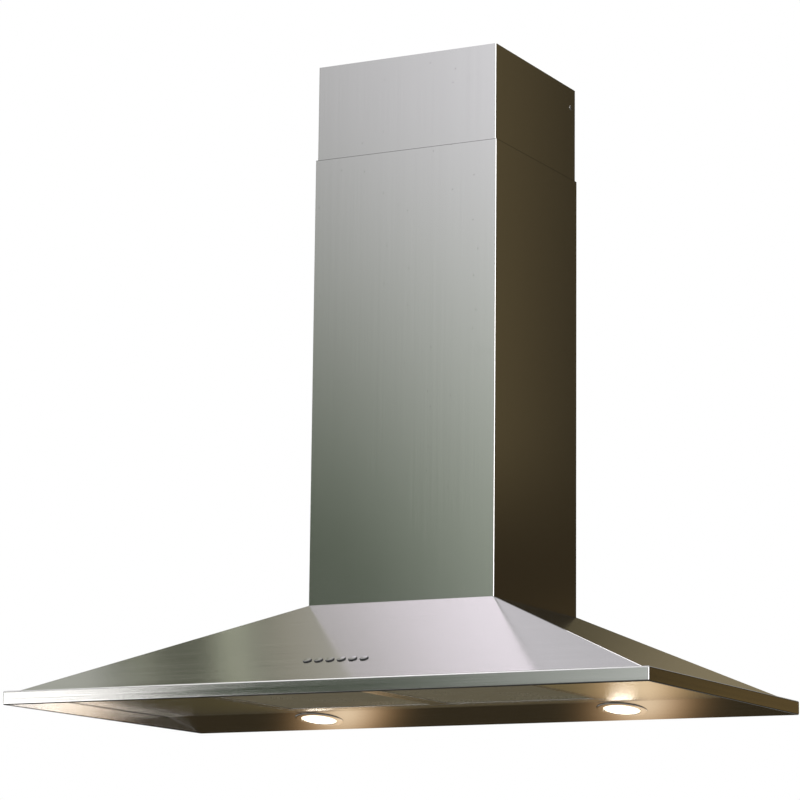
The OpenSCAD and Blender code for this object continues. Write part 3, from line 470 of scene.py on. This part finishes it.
# ------------------------------------------------------------------ filter nets
def filter_net(name, node, body):
    """The filter's pack of expanded metal: small facets in rows on both faces."""
    lo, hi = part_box(node)
    x0, x1 = lo[0] + 0.0006, hi[0] - 0.0006
    y0, y1 = lo[1] + 0.0006, hi[1] - 0.0006
    nx, ny = round((x1 - x0) / NET_DX), round((y1 - y0) / NET_DY)
    verts, faces = [], []
    at = lambda i, j, k: (k * (ny + 1) + j) * (nx + 1) + i
    for k, (z, up) in enumerate(((lo[2] + 0.0001, 1), (hi[2] - 0.0001, -1))):
        for j in range(ny + 1):
            for i in range(nx + 1):
                edge = i in (0, nx) or j in (0, ny)
                dz = 0.0 if not edge and (i + j) % 2 == 0 else 0.0008
                verts.append((x0 + (x1 - x0) * i / nx, y0 + (y1 - y0) * j / ny, z + up * dz))
    for k in (0, 1):
        for j in range(ny):
            for i in range(nx):
                a, b, c, d = at(i, j, k), at(i + 1, j, k), at(i + 1, j + 1, k), at(i, j + 1, k)
                two = [(a, c, b), (a, d, c)] if (i + j) % 2 == 0 else [(a, d, b), (b, d, c)]
                faces += two if k == 0 else [t[::-1] for t in two]
    rim = [(i, 0) for i in range(nx)] + [(nx, j) for j in range(ny)] + [(i, ny) for i in range(nx, 0, -1)] + [(0, j) for j in range(ny, 0, -1)]
    for q, p in enumerate(rim):
        r = rim[(q + 1) % len(rim)]
        faces.append((at(*p, 0), at(*r, 0), at(*r, 1), at(*p, 1)))
    me = bpy.data.meshes.new(name)
    me.from_pydata(verts, [], faces)
    me.materials.append(MATERIALS["filter_mesh"])
    o = bpy.data.objects.new(name, me)
    scene.collection.objects.link(o)
    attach(o, body)
    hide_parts(node)
    return o


filter_net("filter_net_left", "filter_mesh_left", "left_filter")
filter_net("filter_net_right", "filter_mesh_right", "right_filter")


# ------------------------------------------------------------------ latch springs
SLOT = {row["node"]: row["material_slot"] for row in frame["record"]["subparts"]}


def spring(name, node, body):
    """A compression spring with closed ends, built as one still mesh on the filter. In the latch its rear end stands
    still and the latch pushes its front end.
    """
    lo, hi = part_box(node)
    wire = 0.0004
    cx, cz = (lo[0] + hi[0]) / 2, (lo[2] + hi[2]) / 2
    r = min(hi[0] - lo[0], hi[2] - lo[2]) / 2 - wire
    y0, y1 = lo[1] + wire, hi[1] - wire
    turns, step, sides = 7.0, 24, 8
    closed = 0.00084
    n = round(turns * step)

    def along(u):
        mid = (y1 - y0 - 2.0 * closed) / (turns - 2.0)
        return y0 + closed * min(u, 1.0) + mid * min(max(u - 1.0, 0.0), turns - 2.0) + closed * max(u - turns + 1.0, 0.0)

    verts, faces = [], []
    for i in range(n + 1):
        a = math.tau * i / step
        out = Vector((math.cos(a), 0.0, math.sin(a)))
        c = Vector((cx, along(i / step), cz)) + out * r
        for k in range(sides):
            b = math.tau * k / sides
            verts.append(c + out * (wire * math.cos(b)) + Vector((0.0, wire * math.sin(b), 0.0)))
    for i in range(n):
        for k in range(sides):
            l = (k + 1) % sides
            faces.append((i * sides + k, (i + 1) * sides + k, (i + 1) * sides + l, i * sides + l))
    faces.append(tuple(range(sides)))
    faces.append(tuple(reversed(range(n * sides, (n + 1) * sides))))
    me = bpy.data.meshes.new(name)
    me.from_pydata(verts, [], faces)
    for p in me.polygons:
        p.use_smooth = len(p.vertices) == 4
    me.materials.append(MATERIALS[SLOT[node]])
    o = bpy.data.objects.new(name, me)
    scene.collection.objects.link(o)
    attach(o, body)
    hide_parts(node)
    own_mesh(o)


spring("spring_left", "latch_spring_left", "left_filter")
spring("spring_right", "latch_spring_right", "right_filter")


# ------------------------------------------------------------------ lamp lenses
def lens(name, node, side):
    """A pressed glass that swells a little out of its ring, with three steps near its edge."""
    tilt = Matrix.Rotation(-math.atan2(STRIP_RISE, STRIP_RUN), 4, "X")
    at = Matrix.Translation((side * 0.226, -0.056, 0.055 * STRIP_RISE / STRIP_RUN - 0.2)) @ tilt
    rows = [(0.0, -1.75), (4.0, -1.74), (8.0, -1.68), (12.0, -1.56), (15.5, -1.40), (18.2, -1.20), (18.7, -1.32), (19.7, -1.26),
            (20.2, -1.02), (20.7, -1.12), (21.6, -1.04), (22.1, -0.78), (22.6, -0.86), (23.4, -0.74), (24.0, -0.30), (24.2, 0.30),
            (24.2, 1.20), (25.2, 1.45), (25.2, 3.35), (24.6, 3.35), (12.0, 3.35), (0.0, 3.35)]
    n = 96
    verts, faces = [], []
    ids = []
    for r, z in rows:
        if r == 0.0:
            ids.append([len(verts)] * n)
            verts.append(at @ Vector((0.0, 0.0, z / 1000.0)))
        else:
            ids.append(list(range(len(verts), len(verts) + n)))
            verts += [at @ Vector((r / 1000.0 * math.cos(math.tau * i / n), r / 1000.0 * math.sin(math.tau * i / n), z / 1000.0)) for i in range(n)]
    for a, b in zip(ids, ids[1:]):
        for i in range(n):
            j = (i + 1) % n
            ring = [a[i], b[i], b[j], a[j]]
            faces.append(tuple(dict.fromkeys(ring)))
    me = bpy.data.meshes.new(name)
    me.from_pydata(verts, [], faces)
    for p in me.polygons:
        p.use_smooth = True
    me.materials.append(MATERIALS["lamp_glass"])
    o = bpy.data.objects.new(name, me)
    scene.collection.objects.link(o)
    me.update()
    if me.polygons[0].normal.z > 0.0:
        me.flip_normals()
    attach(o, "hood")
    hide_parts(node)


lens("lamp_lens_left", "lamp_glass_left", -1)
lens("lamp_lens_right", "lamp_glass_right", 1)

# ------------------------------------------------------------------ camera
yaw, pitch, roll = math.radians(27.6877), math.radians(10.5449), math.radians(0.6417)
fwd = Vector((-math.sin(yaw), math.cos(yaw), 0.0))
right = Vector((math.cos(yaw), math.sin(yaw), 0.0))
up = Vector((0.0, 0.0, 1.0))
f2 = fwd * math.cos(pitch) + up * math.sin(pitch)
u2 = -fwd * math.sin(pitch) + up * math.cos(pitch)
r3 = right * math.cos(roll) + u2 * math.sin(roll)
u3 = -right * math.sin(roll) + u2 * math.cos(roll)
cam_data = bpy.data.cameras.new("camera")
cam = bpy.data.objects.new("camera", cam_data)
scene.collection.objects.link(cam)
cam_data.sensor_width = 36.0
cam_data.lens = 3149.01 * 36.0 / 800.0
cam_data.clip_start, cam_data.clip_end = 0.05, 100.0
rot = Matrix((r3, u3, -f2)).transposed()
cam.matrix_world = Matrix.Translation((1.877778, -3.837092, -0.549163)) @ rot.to_4x4()
scene.camera = cam


# ------------------------------------------------------------------ studio
def studio():
    w = bpy.data.worlds.new("studio")
    scene.world = w
    w.use_nodes = True
    g = Graph(w.node_tree)
    out = g.add("ShaderNodeOutputWorld")
    d = g.add("ShaderNodeTexCoord").outputs["Generated"]
    x, y, z = g.split(d)
    deg = 180.0 / math.pi
    el = g.math("MULTIPLY", g.math("ARCSINE", g.math("MINIMUM", g.math("MAXIMUM", z, -1.0), 1.0)), deg)
    az = g.math("MULTIPLY", g.math("ARCTAN2", x, g.math("MULTIPLY", y, -1.0)), deg)  # 0 front, + right
    bz = g.math("MULTIPLY", g.math("ARCTAN2", x, y), deg)  # 0 back, + right

    def window(a, a0, a1, sa, e0, e1, se):
        f = g.math("MULTIPLY", g.ramp(a, a0 - sa, a0 + sa), g.ramp(a, a1 - sa, a1 + sa, 1.0, 0.0))
        h = g.math("MULTIPLY", g.ramp(el, e0 - se, e0 + se), g.ramp(el, e1 - se, e1 + se, 1.0, 0.0))
        return g.math("MULTIPLY", f, h)

    # plain room: dim floor, light walls, white ceiling
    col = g.mix(g.ramp(el, -50.0, 0.0), (0.25, 0.245, 0.235), (0.46, 0.455, 0.44))
    col = g.mix(g.ramp(el, 0.0, 40.0), col, (0.72, 0.715, 0.73))
    col = g.mix(g.ramp(el, 40.0, 80.0), col, (0.86, 0.86, 0.87))
    # front, seen in the chimney's front and in the lip: darker low down and to the left
    low = g.mix(g.ramp(el, 5.5, 17.5), (0.045, 0.062, 0.036), (0.52, 0.52, 0.515))
    turn = g.math("ADD", az, g.math("MULTIPLY", g.math("SUBTRACT", el, 6.5), 0.3))
    low = g.mix(g.ramp(turn, -28.2, -18.0, 0.0, 1.0, "LINEAR"), low, (1.40, 1.38, 1.46))
    low = g.mix(g.math("MULTIPLY", g.ramp(el, 3.0, 7.0), g.ramp(el, 8.0, 15.5, 1.0, 0.0, "LINEAR")), low, (0.80, 0.885, 0.72), "MULTIPLY")
    col = g.mix(window(az, -56.0, -12.0, 6.0, -14.0, 26.0, 6.0), col, low)
    col = g.mix(window(az, -62.0, -32.4, 0.6, -14.0, 4.8, 1.2), col, (4.0, 3.9, 3.85))
    # soft box, front left, high: it grows brighter toward the right
    box = g.mix(g.ramp(az, -40.4, -36.6, 0.0, 1.0, "LINEAR"), (0.54, 0.53, 0.49), (2.45, 2.28, 2.52))
    col = g.mix(window(az, -47.0, -33.5, 2.5, 37.5, 49.0, 3.0), col, box)
    # long light on the left, high: the bright line along the lip's upper fold
    col = g.mix(window(az, -112.0, -58.0, 6.0, 54.0, 66.0, 4.0), col, (2.6, 2.58, 2.6))
    # strip light on the right, seen only in the folded edges
    col = g.mix(window(az, 38.0, 76.0, 4.0, 3.0, 24.0, 3.0), col, (5.5, 5.4, 5.3))
    col = g.mix(window(az, 82.0, 116.0, 6.0, -10.0, 26.0, 6.0), col, (0.20, 0.19, 0.17))
    # back right: the dark room that the chimney's side shows
    room = g.mix(g.ramp(bz, 24.9, 25.5), (0.022, 0.018, 0.012), (0.150, 0.114, 0.056))
    room = g.mix(g.ramp(bz, 29.0, 33.0), room, (0.052, 0.040, 0.019))
    room = g.mix(g.ramp(bz, 17.0, 21.0, 1.0, 0.0), room, (0.052, 0.040, 0.019))
    col = g.mix(window(bz, 8.0, 54.0, 6.0, -24.0, 30.0, 6.0), col, g.mix(g.ramp(el, 6.0, 10.0), (0.052, 0.040, 0.019), room))
    col = g.mix(window(bz, 8.0, 54.0, 6.0, -3.0, 8.6, 1.5), col, (0.040, 0.029, 0.015))
    col = g.mix(window(bz, 13.0, 23.6, 1.0, -6.0, 6.6, 0.8), col, (0.17, 0.115, 0.045))
    # under it, what the inner walls of the lip show: dark, then bright toward their front ends
    col = g.mix(window(bz, 10.0, 50.0, 6.0, -40.0, -18.0, 5.0), col, (0.060, 0.048, 0.030))
    col = g.mix(window(bz, 33.35, 44.0, 0.3, -14.0, -1.0, 2.0), col, g.mix(g.ramp(bz, 33.3, 34.1), (0.5, 0.35, 0.12), (3.1, 2.95, 2.8)))
    # a lamp far behind, seen only along the canopy's folds
    col = g.mix(window(bz, -29.0, -16.0, 3.0, 28.0, 38.0, 3.0), col, (2.6, 2.5, 2.6))
    # back left
    strk = g.math("ADD", bz, g.math("MULTIPLY", g.math("SUBTRACT", el, 41.0), 0.6))
    left = g.mix(g.ramp(strk, -45.75, -45.45), (0.50, 0.51, 0.45), (0.07, 0.075, 0.05))
    left = g.mix(g.ramp(strk, -45.2, -44.9), left, (0.46, 0.47, 0.36))
    left = g.mix(g.ramp(strk, -44.8, -44.5), left, (0.115, 0.12, 0.085))
    left = g.mix(g.ramp(strk, -42.68, -42.5), left, (0.60, 0.62, 0.47))
    left = g.mix(g.ramp(strk, -42.05, -41.85), left, (0.17, 0.175, 0.14))
    left = g.mix(g.ramp(strk, -41.5, -41.2), left, (0.36, 0.34, 0.27))
    left = g.mix(g.ramp(strk, -41.1, -39.2), left, (0.485, 0.47, 0.42))
    col = g.mix(window(bz, -66.0, -34.0, 5.0, 26.0, 54.0, 6.0), col, left)
    # seen in the front slope's right end, by way of the chimney's side
    col = g.mix(window(bz, 31.0, 42.0, 3.0, 38.0, 52.0, 3.0), col, g.mix(g.ramp(bz, 35.6, 36.5), (0.96, 0.95, 1.0), (1.36, 1.31, 1.40)))
    col = g.mix(window(bz, -42.0, 2.0, 5.0, 2.0, 24.0, 4.0), col, g.mix(g.ramp(bz, -22.6, -19.8), (0.075, 0.063, 0.035), (0.235, 0.195, 0.12)))
    col = g.mix(window(bz, -52.0, -8.0, 5.0, -12.0, 1.5, 2.5), col, g.mix(g.ramp(bz, -31.5, -28.5), (0.085, 0.07, 0.03), (0.23, 0.18, 0.085)))
    col = g.mix(window(bz, -54.0, -6.0, 6.0, -64.0, -34.0, 4.0), col, (0.17, 0.145, 0.10))
    col = g.mix(window(bz, -54.0, -6.0, 5.0, -36.0, -11.5, 2.0), col, (0.034, 0.025, 0.012))
    lit = g.add("ShaderNodeBackground", {0: col, 1: 1.0})
    seen = g.add("ShaderNodeBackground", {0: (1.0, 1.0, 1.0, 1.0), 1: 1.0})
    path = g.add("ShaderNodeLightPath")
    ms = g.add("ShaderNodeMixShader", {0: path.outputs["Is Camera Ray"]})
    g.tree.links.new(lit.outputs[0], ms.inputs[1])
    g.tree.links.new(seen.outputs[0], ms.inputs[2])
    g.tree.links.new(ms.outputs[0], out.inputs[0])


studio()

me = bpy.data.meshes.new("floor")
s = 12.0
zf = -1.8
me.from_pydata([(-s, -s, zf), (s, -s, zf), (s, s, zf), (-s, s, zf)], [], [(0, 1, 2, 3)])
floor = bpy.data.objects.new("floor", me)
scene.collection.objects.link(floor)
fm = Mat("floor", Roughness=0.9)
fm.set("Base Color", fm.mix(fm.noise(fm.pos, 0.6, 2.0), (0.86, 0.855, 0.84), (0.90, 0.895, 0.885)))
back = fm.add("ShaderNodeNewGeometry").outputs["Backfacing"]
clear = fm.add("ShaderNodeBsdfTransparent")
ms = fm.add("ShaderNodeMixShader", {0: back})
fm.tree.links.new(fm.b.outputs[0], ms.inputs[1])
fm.tree.links.new(clear.outputs[0], ms.inputs[2])
fm.tree.links.new(ms.outputs[0], [n for n in fm.tree.nodes if n.type == "OUTPUT_MATERIAL"][0].inputs[0])
me.materials.append(fm.m)
floor.visible_glossy = False


def card(name, verts, paint):
    """A flat patch of light that only the steel shows. paint(g, x, y, z) returns its colour."""
    me = bpy.data.meshes.new(name)
    me.from_pydata(verts, [], [tuple(range(len(verts)))])
    o = bpy.data.objects.new(name, me)
    scene.collection.objects.link(o)
    m = bpy.data.materials.new(name)
    m.use_nodes = True
    g = Graph(m.node_tree)
    out = g.add("ShaderNodeOutputMaterial")
    px, py, pz = g.split(g.add("ShaderNodeTexCoord").outputs["Object"])
    colour, strength, clear = paint(g, px, py, pz)
    e = g.add("ShaderNodeEmission", {0: colour, 1: strength})
    if clear:
        t = g.add("ShaderNodeBsdfTransparent")
        ad = g.add("ShaderNodeAddShader")
        g.tree.links.new(e.outputs[0], ad.inputs[0])
        g.tree.links.new(t.outputs[0], ad.inputs[1])
        e = ad
    g.tree.links.new(e.outputs[0], out.inputs[0])
    me.materials.append(m)
    o.visible_camera = False
    o.visible_diffuse = False
    o.visible_shadow = False
    o.visible_transmission = False


def pool(name, x):
    """The warm patch that a lamp throws on the wall behind."""
    def paint(g, px, py, pz):
        dx = g.math("DIVIDE", g.math("SUBTRACT", px, x), 0.058)
        dz = g.math("DIVIDE", g.math("ADD", pz, 0.232), 0.045)
        f = g.math("EXPONENT", g.math("MULTIPLY", g.math("ADD", g.math("MULTIPLY", dx, dx), g.math("MULTIPLY", dz, dz)), -1.0))
        return g.mix(f, (1.0, 0.57, 0.25), (1.0, 0.78, 0.54)), g.math("MULTIPLY", f, 1.05), True
    card(name, [(x - 0.16, 0.006, -0.40), (x + 0.16, 0.006, -0.40), (x + 0.16, 0.006, -0.201), (x - 0.16, 0.006, -0.201)], paint)


pool("pool_left", -0.226)
pool("pool_right", 0.226)
key = bpy.data.lights.new("key", "AREA")
key.shape = "RECTANGLE"
key.size, key.size_y = 3.0, 2.0
key.energy = 60.0
ko = bpy.data.objects.new("key", key)
scene.collection.objects.link(ko)
ko.location = (-2.2, -3.0, 2.6)
ko.rotation_euler = (Vector((0, -0.2, 0)) - ko.location).to_track_quat("-Z", "Y").to_euler()
ko.visible_glossy = False
